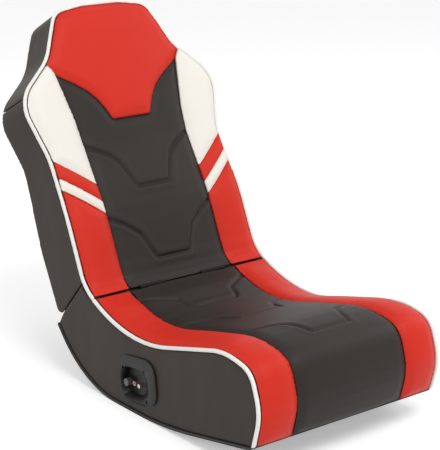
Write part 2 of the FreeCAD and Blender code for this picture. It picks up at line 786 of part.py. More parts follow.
def build_back_frame(nodes):
    """Side boards, rails, boards and foam of the back."""
    inside = back_prism(outline_points(inside_outline))
    below = between_t(-FAR, back_shelf_t - fit_gap)
    low = split_gap + inside_split
    side = rear_strip(behind_board, behind_board + back_board_depth).common(below)
    side = side.common(between_x(back_half - back_board_side, back_half))
    nodes["back_side_boards"] = Part.makeCompound([side, mirrored(side)])
    side = back_region(foam_start, behind_board, 0.0, low, back_half + fit_gap, FAR).common(inside).common(below)
    nodes["back_side_foam"] = Part.makeCompound([side, mirrored(side)])
    nodes["back_board"] = rear_strip(inside_rear, inside_rear + hardboard).common(inside)
    between = between_x(-back_inner, back_inner)
    low_rail = back_strip(foam_start, foam_start + rail).common(between_t(*back_low_rail_t))
    nodes["back_low_rail"] = low_rail.common(between)
    rear = rear_strip(behind_board, behind_board + rail)
    nodes["back_middle_rail"] = rear.common(between_t(*back_middle_rail_t)).common(between)
    shelf = back_region(foam_start + back_foam + fit_gap, behind_board, 0.0, low)
    nodes["back_shelf"] = shelf.common(between_t(back_shelf_t, back_shelf_t + baffle)).common(inside)
    soft = back_strip(foam_start, foam_start + back_foam).common(between)
    nodes["back_foam"] = soft.common(between_t(back_low_rail_t[1] + fit_gap, back_shelf_t - fit_gap))
    above = between_t(back_shelf_t + baffle + fit_gap, FAR).common(inside)
    nodes["head_foam"] = back_strip(foam_start, foam_start + head_foam).common(above)
    front = foam_start + head_foam + speaker_rim + 2 * fit_gap
    nodes["head_board"] = back_strip(front, front + baffle).common(above)


# Fold hinges

def rod(start, ahead, radius, length):
    """A many-sided rod from start along a unit direction."""
    turn = FreeCAD.Rotation(Vector(0, 0, 1), ahead)
    angles = [2 * math.pi * side / screw_sides for side in range(screw_sides)]
    ring = [turn.multVec(Vector(radius * math.cos(a), radius * math.sin(a), 0)) + start for a in angles]
    return flat_sided(ring, [place + ahead * length for place in ring])


def screw(place, ahead, room=0.0):
    """A flush screw: its head's top at place, its length along ahead; room makes its hole."""
    head = rod(place, ahead, screw_head_radius + room, screw_head + room)
    return head.fuse(rod(place, ahead, screw_radius + room, screw_length + room)).removeSplitter()


def build_hinges(nodes):
    """Two butt hinges: leaves with knuckles, pins and flush screws."""
    centre = hinge_half_spacing
    low, high = centre - hinge_length / 2, centre + hinge_length / 2
    middle_low, middle_high = centre - hinge_middle / 2, centre + hinge_middle / 2
    axis = Vector(0, *hinge_axis)
    corners = [crease_place(-leaf / 2, -seat_leaf_length), crease_place(-leaf / 2, 0),
               crease_place(leaf / 2, 0), crease_place(leaf / 2, -seat_leaf_length)]
    plate = side_prism(sharp(corners), low, high)
    notch = [crease_place(-9, -foam_start - 0.6), crease_place(-9, 9), crease_place(9, 9),
             crease_place(9, -foam_start - 0.6)]
    plate = plate.cut(side_prism(sharp(notch), middle_low - fit_gap, middle_high + fit_gap))
    for start, end in ((low, middle_low - fit_gap), (middle_high + fit_gap, high)):
        plate = plate.fuse(Part.makeCylinder(knuckle_radius, end - start, axis + X_AXIS * start, X_AXIS))
    pin = Part.makeCylinder(hinge_pin_radius, hinge_length, axis + X_AXIS * low, X_AXIS)
    plate = plate.cut(Part.makeCylinder(hinge_pin_radius, hinge_length, axis + X_AXIS * low, X_AXIS))
    strap = back_region(0.15 * leaf, -60.0, -60.0, -FAR / 2, middle_low, middle_high)
    strap = strap.cut(back_region(1.15 * leaf, -61.0, -61.0, -FAR / 2)).cut(ahead_of_crease(0.0))
    strap = strap.common(between_t(-FAR, back_leaf_end_t))
    strap = strap.fuse(Part.makeCylinder(knuckle_radius, hinge_middle, axis + X_AXIS * middle_low, X_AXIS))
    bore = Part.makeCylinder(hinge_pin_radius + pin_running, hinge_length, axis + X_AXIS * low, X_AXIS)
    strap = strap.cut(bore)
    inward = Vector(0, *crease_ahead)
    seat_screws = [screw(Vector(x, *crease_place(-leaf / 2, 7 - seat_leaf_length)), inward)
                   for x in (low + 10, high - 10)]
    back_screws = []
    for t in (back_low_rail_t[0] + 12, back_low_rail_t[1] - 14):
        place, _, out = edge_frame(u_at_t(t))
        head = Vector(centre, *off_edge(u_at_t(t), -0.15 * leaf))
        back_screws.append(screw(head, Vector(0, -out[0], -out[1])))
    seat_screws = Part.makeCompound(seat_screws)
    back_screws = Part.makeCompound(back_screws)
    plate = plate.cut(seat_screws).removeSplitter()
    strap = strap.cut(back_screws).removeSplitter()
    nodes["hinge_seat_leaves"] = Part.makeCompound([plate, mirrored(plate)])
    nodes["hinge_back_leaves"] = Part.makeCompound([strap, mirrored(strap)])
    nodes["hinge_pins"] = Part.makeCompound([pin, mirrored(pin)])
    nodes["hinge_seat_screws"] = Part.makeCompound([seat_screws, mirrored(seat_screws)])
    nodes["hinge_back_screws"] = Part.makeCompound([back_screws, mirrored(back_screws)])
    nodes["seat_hinge_rail"] = nodes["seat_hinge_rail"].cut(nodes["hinge_seat_screws"])
    nodes["back_low_rail"] = nodes["back_low_rail"].cut(nodes["hinge_back_screws"])


# Control panel

TILT = math.radians(panel_tilt)
panel_z = panel_height - rocker_depth
panel_face = -seat_half_width - panel_proud
cup_floor = panel_face + cup_depth
cup_back = cup_floor + cup_wall
knob_base = cup_floor - knob_lift
board_face = cup_back + pot_depth + 2 * fit_gap


def panel_point(x, a, b):
    """A place on the control panel: a to the rear and b up, both tilted, at depth x."""
    return Vector(x, panel_y + a * math.cos(TILT) + b * math.sin(TILT),
                  panel_z - a * math.sin(TILT) + b * math.cos(TILT))


def on_panel(x):
    """A function that puts an (a, b) pair on the panel at depth x."""
    return lambda a, b: panel_point(x, a, b)


def rounded(centre, size, radius):
    """A clockwise rectangle with round corners, as outline points."""
    a, b, half_a, half_b = centre[0], centre[1], size[0] / 2, size[1] / 2
    return [(a - half_a, b - half_b, radius), (a - half_a, b + half_b, radius),
            (a + half_a, b + half_b, radius), (a + half_a, b - half_b, radius)]


def grown(points, amount):
    """A closed outline pushed outwards all round."""
    return drawn_in(points, [-amount] * len(points))


def panel_wire(points, x):
    """A closed outline as a wire on the panel."""
    return Part.Wire(edges_of(pieces_of(points, closed=True), on_panel(x)))


def faceted(points, x):
    """A closed outline whose round corners are short straight runs, as places on the panel."""
    places = []
    for piece in pieces_of(points, closed=True):
        runs = corner_runs if piece[0] == "arc" else 1
        places += [along([piece], piece_length(piece) * run / runs)[0] for run in range(runs)]
    return [panel_point(x, *place) for place in places]


cup_rim = rounded(cup_place, cup_size, cup_corner)
cup_bottom = rounded((cup_place[0] + cup_floor_shift, cup_place[1]), cup_floor_size, cup_floor_corner)


def panel_round(place, radius, x, depth):
    """A cylinder square to the panel, from x inwards."""
    return Part.makeCylinder(radius, depth, panel_point(x, *place), X_AXIS)


def panel_block(place, size, x, depth):
    """A block square to the panel, from x inwards."""
    corners = [(place[0] + size[0] / 2 * side, place[1] + size[1] / 2 * end)
               for side, end in ((-1, -1), (-1, 1), (1, 1), (1, -1))]
    return flat_sided([panel_point(x, *corner) for corner in corners],
                      [panel_point(x + depth, *corner) for corner in corners])


def panel_screw_places():
    """The four screws round the cup."""
    return [(cup_place[0] + side * panel_screw_reach[0], cup_place[1] + end * panel_screw_reach[1])
            for side in (-1, 1) for end in (-1, 1)]


def build_panel(nodes):
    """Moulded panel with its dished cup, screws, knob, shaft, jacks, pot and circuit board."""
    bezel = rounded((0, 0), panel_size, panel_corner)
    edge = panel_face + bezel_chamfer
    plate = flat_sided(faceted(bezel, edge), faceted(bezel, panel_face + panel_proud))
    plate = plate.fuse(flat_sided(faceted(grown(bezel, -bezel_chamfer), panel_face), faceted(bezel, edge)))
    outer = flat_sided(faceted(grown(cup_rim, cup_wall), edge), faceted(grown(cup_bottom, cup_wall), cup_back))
    inner = flat_sided(faceted(cup_rim, panel_face - 0.01), faceted(cup_bottom, cup_floor))
    panel = plate.fuse(outer).cut(inner).removeSplitter()
    screws = []
    for place in panel_screw_places():
        top = panel_point(panel_face + panel_screw_recess, *place)
        screws.append(screw(top, X_AXIS))
        panel = panel.cut(screw(top, X_AXIS, fit_gap))
        panel = panel.cut(rod(top, -X_AXIS, screw_head_radius + fit_gap, cup_depth))
    panel = panel.cut(panel_round(knob_place, shaft_radius + fit_gap, cup_floor - 1, cup_depth))
    for place in jack_places:
        panel = panel.cut(panel_round(place, jack_radius + 0.1, cup_floor - 1, cup_depth))
    nodes["control_panel"] = panel
    nodes["panel_screws"] = Part.makeCompound(screws)

    knob_top = knob_base - knob_height
    outline = []
    for number in range(knob_flutes):
        for share, radius in ((0.0, knob_radius), (0.5, knob_radius), (0.75, knob_radius - knob_flute_depth)):
            angle = 2 * math.pi * (number + share) / knob_flutes
            outline.append((knob_place[0] + radius * math.cos(angle), knob_place[1] + radius * math.sin(angle)))
    knob = flat_sided([panel_point(knob_top, *place) for place in outline],
                      [panel_point(knob_base, *place) for place in outline])
    shaft_top = knob_base - shaft_in_knob
    nodes["volume_knob"] = knob.cut(panel_round(knob_place, shaft_radius, shaft_top, knob_height))
    nodes["knob_shaft"] = panel_round(knob_place, shaft_radius, shaft_top, board_face - 1.0 - shaft_top)
    pot = rod(panel_point(cup_back + fit_gap, *knob_place), X_AXIS, pot_radius, pot_depth)
    nodes["volume_pot"] = pot.cut(panel_round(knob_place, shaft_radius + pin_running, cup_back, pot_depth + 1))

    mouth = cup_floor - jack_height
    barrels = []
    for place, colour in zip(jack_places, ("red", "white")):
        whole = panel_round(place, jack_radius, mouth, board_face - fit_gap - mouth)
        core = panel_round(place, jack_radius - jack_wall, mouth - 1, board_face - fit_gap - mouth + 2)
        barrels.append(whole.cut(core))
        insert = panel_round(place, jack_radius - jack_wall, mouth + 1.0, board_face - fit_gap - mouth - 1.0)
        nodes["jack_insert_" + colour] = insert.cut(panel_round(place, jack_bore, mouth, jack_height))
    nodes["jack_barrels"] = Part.makeCompound(barrels)
    middle = (cup_place[0] + cup_floor_shift, cup_place[1])
    nodes["circuit_board"] = panel_block(middle, circuit_size, board_face, circuit_board)
    rear = board_face + circuit_board
    parts = []
    for number in range(2):
        place = (middle[0] - circuit_size[0] / 3 + capacitor_step * number, middle[1] - circuit_size[1] / 4)
        parts.append(rod(panel_point(rear, *place), X_AXIS, capacitor_radius, capacitor_height))
    place = (middle[0], middle[1] + circuit_size[1] / 4)
    sink = panel_block(place, sink_size, rear, sink_height)
    pitch = sink_size[0] / (sink_gaps + 0.5)
    for number in range(sink_gaps):
        gap = (place[0] + pitch * (number - (sink_gaps - 1) / 2), place[1])
        sink = sink.cut(panel_block(gap, (pitch / 2, 2 * sink_size[1]), rear + sink_base, sink_height))
    nodes["amplifier_parts"] = Part.makeCompound(parts + [sink])


# Loudspeakers

def tapered(first, second):
    """A many-sided tapered solid between two (radius, depth) rims on the Z axis."""
    angles = [2 * math.pi * side / speaker_sides for side in range(speaker_sides)]
    rings = [[Vector(radius * math.cos(a), radius * math.sin(a), depth) for a in angles]
             for radius, depth in (first, second)]
    return flat_sided(*rings)


def build_speakers(nodes):
    """Two loudspeakers let into the board behind the head panel."""
    frame_end = speaker_depth - magnet_depth
    mouth = speaker_radius - speaker_rim
    basket = tapered((speaker_radius, 0), (speaker_radius, speaker_rim))
    basket = basket.fuse(tapered((mouth, speaker_rim), (magnet_radius, frame_end)))
    basket = basket.cut(tapered((mouth - 1, -1), (magnet_radius - 3, frame_end - basket_wall))).removeSplitter()
    magnet = tapered((magnet_radius, frame_end + 0.1), (magnet_radius, speaker_depth))
    rim = mouth - basket_wall - cone_room
    cone = tapered((rim, 0.5), (dust_cap_radius, cone_depth))
    cone = cone.cut(tapered((rim - cone_wall, 0.4), (dust_cap_radius - cone_wall, cone_depth - cone_wall)))
    place = edge_frame(u_at_t(speaker_t))
    turn = FreeCAD.Rotation(Vector(0, 0, 1), Vector(0, -place[2][0], -place[2][1]))
    front = off_edge(u_at_t(speaker_t), -(foam_start + head_foam + fit_gap))
    for name, shape in (("speaker_baskets", basket), ("speaker_magnets", magnet), ("speaker_cones", cone)):
        solids = []
        for side in (-1, 1):
            copy = shape.copy()
            copy.Placement = FreeCAD.Placement(Vector(side * speaker_half_spacing, *front), turn)
            solids.append(copy)
        nodes[name] = Part.makeCompound(solids)
    for side in (-1, 1):
        opening = tapered((mouth + fit_gap, -1), (mouth + fit_gap, speaker_depth))
        opening.Placement = FreeCAD.Placement(Vector(side * speaker_half_spacing, *front), turn)
        nodes["head_board"] = nodes["head_board"].cut(opening)


def build(nodes):
    """Make every node."""
    through = Part.Face(panel_wire(grown(cup_rim, cup_wall + 1.0), -FAR / 2)).extrude(X_AXIS * FAR / 2)
    shanks = [rod(panel_point(panel_face, *place), X_AXIS, screw_radius + fit_gap, 4 * screw_length)
              for place in panel_screw_places()]
    hole = through.multiFuse(shanks)
    build_seat_frame(nodes, hole)
    build_back_frame(nodes)
    build_hinges(nodes)
    build_seat_pads(nodes)
    build_back_pads(nodes)
    build_seat_covers(nodes, hole)
    build_back_covers(nodes)
    build_panel(nodes)
    build_speakers(nodes)


def main():
    """Build the chair, set it down on the floor plane and write one file per node."""
    nodes = {}
    build(nodes)
    boxes = [shape.optimalBoundingBox(False, False) for shape in nodes.values()]
    middle = (min(box.YMin for box in boxes) + max(box.YMax for box in boxes)) / 2
    down = Vector(0, -middle, rocker_depth)
    os.makedirs("parts", exist_ok=True)
    for name, shape in nodes.items():
        shape.translate(down)
        shape.exportStep("parts/" + name + ".step")
        print(name, "solids", len(shape.Solids), "closed", shape.isValid(), "volume", round(shape.Volume))
    places = {"fold axis": Vector(0, *hinge_axis), "knob axis": panel_point(knob_base, *knob_place),
              "panel middle": panel_point(panel_face, 0, 0), "cup floor": panel_point(cup_floor, *cup_place)}
    for name, place in places.items():
        print(name, [round(value, 3) for value in place + down])


main()
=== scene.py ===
# %% [markdown]
# # A floor rocking chair
#
# The chair is a curved seat box, a padded back that folds forward over it, and a small sound panel
# let into the right side. The frame that is loaded here holds every piece at its real size and place.
# This file gives each visible piece its real surface: padded panels, piping, covers and plastic.

# %% Load the frame
import json
import math

import bmesh
import bpy
from mathutils import Matrix, Vector, kdtree, noise


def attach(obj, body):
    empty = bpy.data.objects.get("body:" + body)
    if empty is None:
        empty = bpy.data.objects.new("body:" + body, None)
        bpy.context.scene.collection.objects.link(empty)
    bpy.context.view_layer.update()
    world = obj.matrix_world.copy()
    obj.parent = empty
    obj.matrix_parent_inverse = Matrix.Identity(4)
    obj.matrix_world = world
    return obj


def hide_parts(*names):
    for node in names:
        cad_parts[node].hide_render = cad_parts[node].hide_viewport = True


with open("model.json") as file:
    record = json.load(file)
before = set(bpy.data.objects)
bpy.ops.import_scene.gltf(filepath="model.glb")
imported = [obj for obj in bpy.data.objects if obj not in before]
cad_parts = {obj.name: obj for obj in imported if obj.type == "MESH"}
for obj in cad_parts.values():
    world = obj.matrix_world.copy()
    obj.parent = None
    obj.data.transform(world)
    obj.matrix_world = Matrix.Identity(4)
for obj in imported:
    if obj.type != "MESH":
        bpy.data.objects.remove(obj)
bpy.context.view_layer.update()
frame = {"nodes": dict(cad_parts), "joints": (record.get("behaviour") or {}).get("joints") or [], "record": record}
nodes = frame["nodes"]
scene = bpy.context.scene
MM = 0.001

# %% [markdown]
# ## The chair's own measures
#
# Everything hangs on one line in side view: the white piping, from the front foot over the nose and
# the dip of the seat to the crease, and on up the back. The line is straight runs joined by tangent
# arcs, so a short list of corners with radii says all of it. Lengths here are in millimetres.

# %% Driving sizes
fold = next(joint for joint in frame["joints"] if joint["name"] == "backrest_fold")
AXIS_FROM_ORIGIN = (-2.48, 1.57)
AXIS_Y, AXIS_Z = fold["pos_m"][1] / MM, fold["pos_m"][2] / MM
ORIGIN = Vector((0.0, AXIS_Y - AXIS_FROM_ORIGIN[0], AXIS_Z - AXIS_FROM_ORIGIN[1]))
LEAN = math.radians(27.3)
SEAT_LINE = [(-489.0, -141.0, 8.0), (-508.5, -69.0, 99.0), (-482.5, 2.5, 44.0), (-408.5, 17.0, 160.0),
             (-122.5, -59.0, 330.0), (29.5, 13.5, 92.0)]
BACK_LINE = [(162.0, 12.0, 398.0), (300.0, 24.7, 401.0), (610.0, 12.3, 0.0)]
EDGE_STEP = 2.0
RUN_SHARE = 0.995
TINY = 1e-4


def from_back(t, p):
    """A place on the leaning back, t up it and p to its rear, as a (y, z) pair of the side view."""
    return (t * math.sin(LEAN) + p * math.cos(LEAN), t * math.cos(LEAN) - p * math.sin(LEAN))


def up_the_back(y, z):
    """How far up the leaning back a (y, z) place of the side view is."""
    return y * math.sin(LEAN) + z * math.cos(LEAN)


def rounded_path(corners, step):
    """Points along straight runs and the arcs that join them; corners are (a, b, radius)."""
    count = len(corners)
    places = [Vector(corner[:2]) for corner in corners]
    runs = [places[(i + 1) % count] - places[i] for i in range(count)]
    turns = [math.atan2(runs[i - 1].cross(runs[i]), runs[i - 1].dot(runs[i])) for i in range(count)]
    turns[0] = turns[-1] = 0.0
    reach = [corners[i][2] * math.tan(abs(turns[i]) / 2) for i in range(count)]
    share = [1.0] * count
    for i in range(count - 1):
        limit = RUN_SHARE * runs[i].length / max(reach[i] + reach[i + 1], TINY)
        share[i], share[i + 1] = min(share[i], limit), min(share[i + 1], limit)
    points = []
    for i, place in enumerate(places):
        radius, pull = corners[i][2] * share[i], reach[i] * share[i]
        if pull < TINY:
            points.append(place)
            continue
        ahead = runs[i - 1].normalized()
        start = place - ahead * pull
        centre = start + Vector((-ahead.y, ahead.x)) * math.copysign(radius, turns[i])
        steps = max(2, math.ceil(radius * abs(turns[i]) / step))
        for number in range(steps + 1):
            points.append(centre + Matrix.Rotation(turns[i] * number / steps, 2) @ (start - centre))
    return filled(points, step)


def filled(points, step):
    """The same path with points added so that none are further apart than step."""
    dense = [points[0]]
    for point in points[1:]:
        gap = point - dense[-1]
        if gap.length < TINY:
            continue
        count = max(1, math.ceil(gap.length / step))
        start = dense[-1]
        dense += [start + gap * (number + 1) / count for number in range(count)]
    return dense


edge = rounded_path(SEAT_LINE + [from_back(t, p) + (radius,) for t, p, radius in BACK_LINE], EDGE_STEP)
crease_index = min(range(len(edge)), key=lambda i: (edge[i] - Vector(AXIS_FROM_ORIGIN)).length)
edge_tree = kdtree.KDTree(len(edge))
edge_out = []
for i, place in enumerate(edge):
    edge_tree.insert((place.x, place.y, 0.0), i)
    ahead = (edge[min(i + 1, len(edge) - 1)] - edge[max(i - 1, 0)]).normalized()
    edge_out.append(Vector((-ahead.y, ahead.x)))
edge_tree.balance()
print("edge line points", len(edge), "crease at", crease_index)


def over_edge(co):
    """The nearest index on the edge line, the height over it and the direction outwards there."""
    y, z = co.y / MM - ORIGIN.y, co.z / MM - ORIGIN.z
    index = edge_tree.find((y, z, 0.0))[1]
    out = edge_out[index]
    height = (Vector((y, z)) - edge[index]).dot(out)
    return index, height, Vector((0.0, out.x, out.y))


# %% [markdown]
# ## Camera
#
# The camera stands where the photographer's did, low in front of the chair's right corner. It comes
# first so that every later step can be looked at from the same place.

# %% Camera
CAMERA_PLACE = Vector((-1733.5, -2342.7, 968.4))
CAMERA_AZIMUTH = math.radians(-38.0)
CAMERA_ELEVATION = math.radians(16.42)
CAMERA_LENS = 122.1
backwards = Vector((math.sin(CAMERA_AZIMUTH) * math.cos(CAMERA_ELEVATION),
                    -math.cos(CAMERA_AZIMUTH) * math.cos(CAMERA_ELEVATION), math.sin(CAMERA_ELEVATION)))
camera_data = bpy.data.cameras.new("camera")
camera_data.lens = CAMERA_LENS
camera_data.sensor_width = 36.0
camera = bpy.data.objects.new("camera", camera_data)
scene.collection.objects.link(camera)
camera.location = (CAMERA_PLACE + ORIGIN) * MM
camera.rotation_mode = "QUATERNION"
camera.rotation_quaternion = (-backwards).to_track_quat("-Z", "Y")
scene.camera = camera
print("camera at", tuple(round(value, 3) for value in camera.location))

# %% [markdown]
# ## Floor and light
#
# A pale floor and large soft lamps, so that a colour renders about as it is written. The camera sees
# a white world, and the floor keeps only the chair's own soft shadow.

# %% Floor, world and lamps
def new_object(name, mesh):
    """A mesh object at the origin."""
    obj = bpy.data.objects.new(name, mesh)
    scene.collection.objects.link(obj)
    return obj


def from_bmesh(name, bm):
    """An object from a bmesh, smooth shaded."""
    mesh = bpy.data.meshes.new(name)
    bm.to_mesh(mesh)
    bm.free()
    mesh.shade_smooth()
    return new_object(name, mesh)


def math_node(tree, operation, first, second=0.0, third=0.0):
    """A math node with values or sockets on its inputs; gives its output."""
    node = tree.nodes.new("ShaderNodeMath")
    node.operation = operation
    for slot, value in enumerate((first, second, third)):
        if isinstance(value, (int, float)):
            node.inputs[slot].default_value = value
        else:
            tree.links.new(value, node.inputs[slot])
    return node.outputs[0]


WORLD_LEVEL = 0.56
FLOOR_GLOW = 0.36
LAMPS = [("lamp_key", (-0.4, -2.2, 3.4), 62.0, 2.2), ("lamp_right", (3.0, -0.8, 2.2), 22.0, 2.0),
         ("lamp_left", (-3.2, -0.6, 1.8), 16.0, 2.4)]


def shown_background(tree):
    """One where a ray shows the background: from the camera, or by reflection or through glass."""
    path = tree.nodes.new("ShaderNodeLightPath").outputs
    seen = math_node(tree, "MAXIMUM", path["Is Camera Ray"], path["Is Glossy Ray"])
    return math_node(tree, "MAXIMUM", seen, path["Is Transmission Ray"])


def build_stage():
    """Floor, world and three soft lamps."""
    bm = bmesh.new()
    bmesh.ops.create_grid(bm, x_segments=2, y_segments=2, size=14.0)
    floor = from_bmesh("studio_floor", bm)
    material = bpy.data.materials.new("studio_floor")
    material.use_nodes = True
    shader = material.node_tree.nodes["Principled BSDF"]
    shader.inputs["Base Color"].default_value = (0.93, 0.93, 0.93, 1.0)
    shader.inputs["Roughness"].default_value = 0.9
    shader.inputs["Specular IOR Level"].default_value = 0.1
    shader.inputs["Emission Color"].default_value = (1.0, 1.0, 1.0, 1.0)
    glow = math_node(material.node_tree, "MULTIPLY", shown_background(material.node_tree), FLOOR_GLOW)
    material.node_tree.links.new(glow, shader.inputs["Emission Strength"])
    floor.data.materials.append(material)
    world = bpy.data.worlds.new("studio")
    scene.world = world
    world.use_nodes = True
    tree = world.node_tree
    background = tree.nodes["Background"]
    background.inputs["Color"].default_value = (1.0, 1.0, 1.0, 1.0)
    level = tree.nodes.new("ShaderNodeMix")
    level.inputs["A"].default_value = WORLD_LEVEL
    level.inputs["B"].default_value = 1.0
    tree.links.new(shown_background(tree), level.inputs["Factor"])
    tree.links.new(level.outputs["Result"], background.inputs["Strength"])
    for name, place, energy, size in LAMPS:
        lamp_data = bpy.data.lights.new(name, "AREA")
        lamp_data.energy = energy
        lamp_data.shape = "DISK"
        lamp_data.size = size
        lamp = bpy.data.objects.new(name, lamp_data)
        scene.collection.objects.link(lamp)
        lamp.location = place
        lamp.rotation_mode = "QUATERNION"
        lamp.rotation_quaternion = (Vector(place) - Vector((0.0, 0.0, 0.3))).to_track_quat("Z", "Y")


build_stage()
scene.view_settings.view_transform = "Standard"
print("lamps", [lamp[0] for lamp in LAMPS])

# %% [markdown]
# ## Finishes
#
# Coated fabric has a fine pebble grain and a gloss that varies a little from place to place.
# The grain and the slow variation are node groups, so that every colour of the cover shares them.

# %% Grain and mottle groups
def new_group(name, inputs, outputs):
    """An empty shader node group with number inputs, and its input and output nodes."""
    group = bpy.data.node_groups.new(name, "ShaderNodeTree")
    for label, value in inputs:
        socket = group.interface.new_socket(label, in_out="INPUT", socket_type="NodeSocketFloat")
        socket.default_value = value
    for label, kind in outputs:
        group.interface.new_socket(label, in_out="OUTPUT", socket_type=kind)
    return group, group.nodes.new("NodeGroupInput"), group.nodes.new("NodeGroupOutput")


def build_grain_group():
    """Pebble grain: cells with fine creases between them and a softer second layer."""
    group, start, end = new_group("pebble_grain", [("Scale", 600.0), ("Strength", 0.2)],
                                  [("Normal", "NodeSocketVector")])
    place = group.nodes.new("ShaderNodeTexCoord").outputs["Object"]
    cells = group.nodes.new("ShaderNodeTexVoronoi")
    cells.feature = "DISTANCE_TO_EDGE"
    creases = group.nodes.new("ShaderNodeTexNoise")
    creases.inputs["Detail"].default_value = 3.0
    for node in (cells, creases):
        group.links.new(place, node.inputs["Vector"])
    group.links.new(start.outputs["Scale"], cells.inputs["Scale"])
    group.links.new(math_node(group, "MULTIPLY", start.outputs["Scale"], 0.4), creases.inputs["Scale"])
    pebble = math_node(group, "MINIMUM", cells.outputs["Distance"], 0.18)
    height = math_node(group, "ADD", math_node(group, "MULTIPLY", pebble, 3.0),
                       math_node(group, "MULTIPLY", creases.outputs["Fac"], 0.8))
    bump = group.nodes.new("ShaderNodeBump")
    bump.inputs["Distance"].default_value = 0.0004
    group.links.new(start.outputs["Strength"], bump.inputs["Strength"])
    group.links.new(height, bump.inputs["Height"])
    group.links.new(bump.outputs["Normal"], end.inputs["Normal"])
    return group


def build_mottle_group():
    """Slow change over a surface, about one, for colour and roughness."""
    group, start, end = new_group("slow_mottle", [("Scale", 9.0), ("Amount", 0.08)],
                                  [("Value", "NodeSocketFloat")])
    cloud = group.nodes.new("ShaderNodeTexNoise")
    cloud.inputs["Detail"].default_value = 4.0
    group.links.new(group.nodes.new("ShaderNodeTexCoord").outputs["Object"], cloud.inputs["Vector"])
    group.links.new(start.outputs["Scale"], cloud.inputs["Scale"])
    spread = math_node(group, "SUBTRACT", cloud.outputs["Fac"], 0.5)
    value = math_node(group, "MULTIPLY_ADD", spread, start.outputs["Amount"], 1.0)
    group.links.new(value, end.inputs["Value"])
    return group


grain_group = build_grain_group()
mottle_group = build_mottle_group()


def finish_material(name, colour, roughness, grain=(600.0, 0.2), mottle=(9.0, 0.1),
                    metallic=0.0, specular=0.5):
    """A surface of one colour with grain and slow mottle; grain is scale and strength."""
    material = bpy.data.materials.new(name)
    material.use_nodes = True
    tree = material.node_tree
    shader = tree.nodes["Principled BSDF"]
    shader.inputs["Metallic"].default_value = metallic
    shader.inputs["Specular IOR Level"].default_value = specular
    slow = tree.nodes.new("ShaderNodeGroup")
    slow.node_tree = mottle_group
    slow.inputs["Scale"].default_value, slow.inputs["Amount"].default_value = mottle
    tint = tree.nodes.new("ShaderNodeMix")
    tint.data_type = "RGBA"
    tint.blend_type = "MULTIPLY"
    tint.inputs["Factor"].default_value = 1.0
    tint.inputs["A"].default_value = colour + (1.0,)
    tree.links.new(slow.outputs["Value"], tint.inputs["B"])
    tree.links.new(tint.outputs["Result"], shader.inputs["Base Color"])
    gloss = math_node(tree, "MULTIPLY", slow.outputs["Value"], roughness)
    tree.links.new(gloss, shader.inputs["Roughness"])
    pebble = tree.nodes.new("ShaderNodeGroup")
    pebble.node_tree = grain_group
    pebble.inputs["Scale"].default_value, pebble.inputs["Strength"].default_value = grain
    tree.links.new(pebble.outputs["Normal"], shader.inputs["Normal"])
    return material


# %% [markdown]
# ## One finish for each slot
#
# A slot is a name for one kind of surface, and every piece has one. The boards, foam and hinges inside
# are given dark finishes as painted shade, because they show a little through the gap at the crease,
# where shade falls. Paler ones would be nearer to what such a chair has.

# %% Materials by the record's slots
FABRIC_GRAIN = (520.0, 0.22)
MATERIALS = {
    "red_upholstery": finish_material("red_cover", (0.63, 0.028, 0.014), 0.46, FABRIC_GRAIN, specular=0.16),
    "black_upholstery": finish_material("black_panel", (0.02, 0.015, 0.0125), 0.52, FABRIC_GRAIN, specular=0.24),
    "white_upholstery": finish_material("white_cover", (0.84, 0.815, 0.745), 0.42, FABRIC_GRAIN, (6.0, 0.05),
                                       specular=0.2),
    "black_cover": finish_material("black_side_cover", (0.03, 0.022, 0.016), 0.5, FABRIC_GRAIN, specular=0.22),
    "white_piping": finish_material("white_welt", (0.86, 0.845, 0.8), 0.4, (900.0, 0.1), (12.0, 0.05),
                                   specular=0.2),
    "base_board": finish_material("base_cloth", (0.03, 0.028, 0.027), 0.8, (900.0, 0.5), (30.0, 0.3)),
    # Painted shade: the boards, foam and hinges are darkened so that the gap at the crease reads as shade.
    "frame_board": finish_material("board_painted_shade", (0.035, 0.024, 0.018), 0.7, (200.0, 0.15), (16.0, 0.5)),
    "foam": finish_material("foam_painted_shade", (0.03, 0.03, 0.03), 0.95, (700.0, 0.6), (20.0, 0.1)),
    "hinge_steel": finish_material("hinge_painted_shade", (0.022, 0.021, 0.02), 0.6, (900.0, 0.05), (30.0, 0.3), 1.0),
    "panel_plastic": finish_material("panel_black", (0.008, 0.007, 0.0065), 0.34, (1600.0, 0.12), (20.0, 0.2),
                                    specular=0.25),
    "knob_plastic": finish_material("knob_grey", (0.1, 0.1, 0.105), 0.4, (1500.0, 0.08), (30.0, 0.1)),
    "shaft_metal": finish_material("turned_shaft", (0.7, 0.7, 0.71), 0.3, (1500.0, 0.05), (30.0, 0.2), 1.0),
    "pot_plastic": finish_material("pot_case", (0.06, 0.06, 0.06), 0.5),
    "jack_metal": finish_material("nickel", (0.72, 0.69, 0.64), 0.22, (1500.0, 0.03), (40.0, 0.2), 1.0),
    "jack_red": finish_material("jack_red", (0.62, 0.02, 0.02), 0.35, (1500.0, 0.05), (40.0, 0.1)),
    "jack_white": finish_material("jack_white", (0.84, 0.83, 0.8), 0.35, (1500.0, 0.05), (40.0, 0.05)),
    "circuit_green": finish_material("circuit_green", (0.02, 0.14, 0.05), 0.4, (1200.0, 0.1), (60.0, 0.6)),
    "amplifier_metal": finish_material("anodised", (0.25, 0.25, 0.26), 0.4, (900.0, 0.05), (20.0, 0.2), 1.0),
    "speaker_metal": finish_material("speaker_black", (0.03, 0.03, 0.03), 0.5),
    "speaker_paper": finish_material("cone_paper", (0.05, 0.05, 0.05), 0.9, (700.0, 0.5), (20.0, 0.3)),
}
slot_of = {part["node"]: part["material_slot"] for part in frame["record"]["subparts"]}
body_of = {node: body for body, names in frame["record"]["behaviour"]["bodies"].items() for node in names}
for name, obj in nodes.items():
    obj.data.materials.clear()
    obj.data.materials.append(MATERIALS[slot_of[name]])
print("materials", len(MATERIALS))


